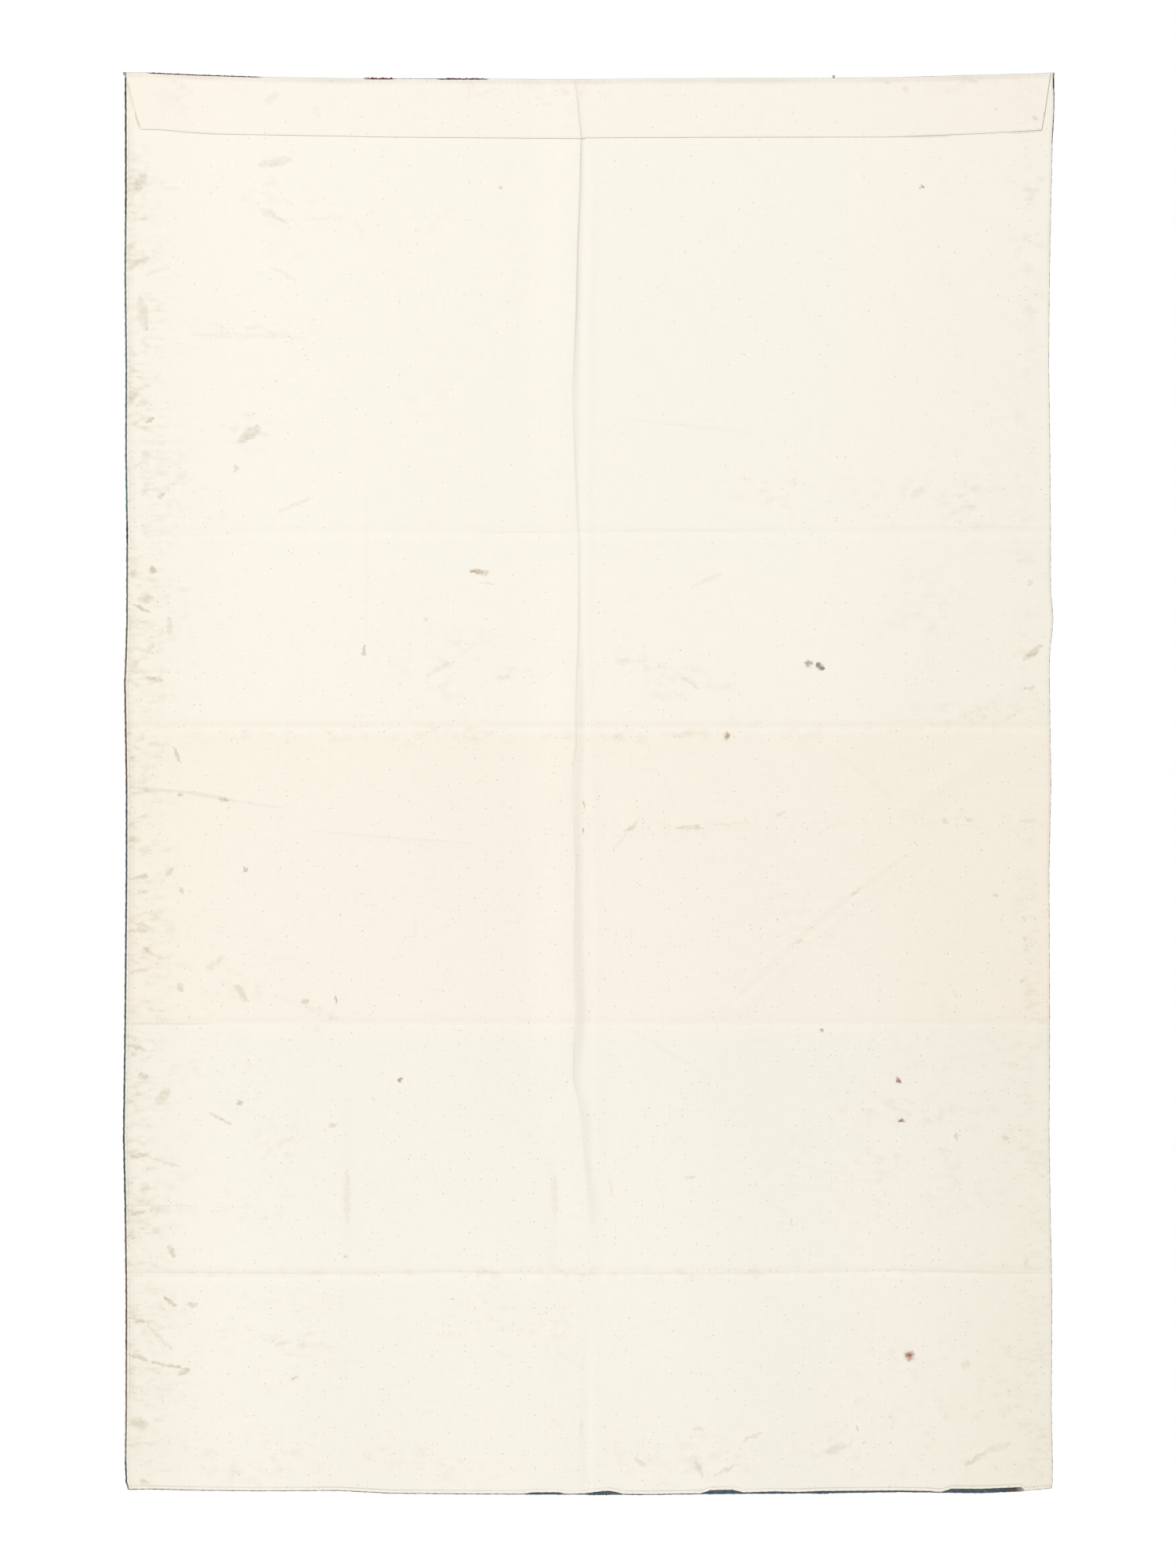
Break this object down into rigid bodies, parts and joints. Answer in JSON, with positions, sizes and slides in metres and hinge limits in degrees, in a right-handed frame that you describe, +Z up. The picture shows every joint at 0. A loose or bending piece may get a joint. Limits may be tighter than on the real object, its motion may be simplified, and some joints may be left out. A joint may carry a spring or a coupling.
{
  "type": "wall tapestry",
  "caption": "Woven wool wall tapestry hanging flat, with a plain cotton lining over its back and a cotton heading band along its top.",
  "frame": {"origin": "middle of the woven panel's top edge, halfway through its thickness, where the tapestry is held", "axes": "+Z up; +X to the right for a viewer who looks at the lined back; the lined back faces -Y and the woven front faces +Y"},
  "size_m": [1.782, 0.0137, 2.721],
  "materials": {
    "wool_weave": "ribbed wool weave, matt",
    "lining_cotton": "unbleached plain-weave cotton, soiled, matt",
    "band_cotton": "unbleached plain-weave cotton, matt"
  },
  "bodies": {
    "root": {"woven_panel": "wool_weave", "lining": "lining_cotton", "heading_band": "band_cotton"}
  },
  "joints": []
}
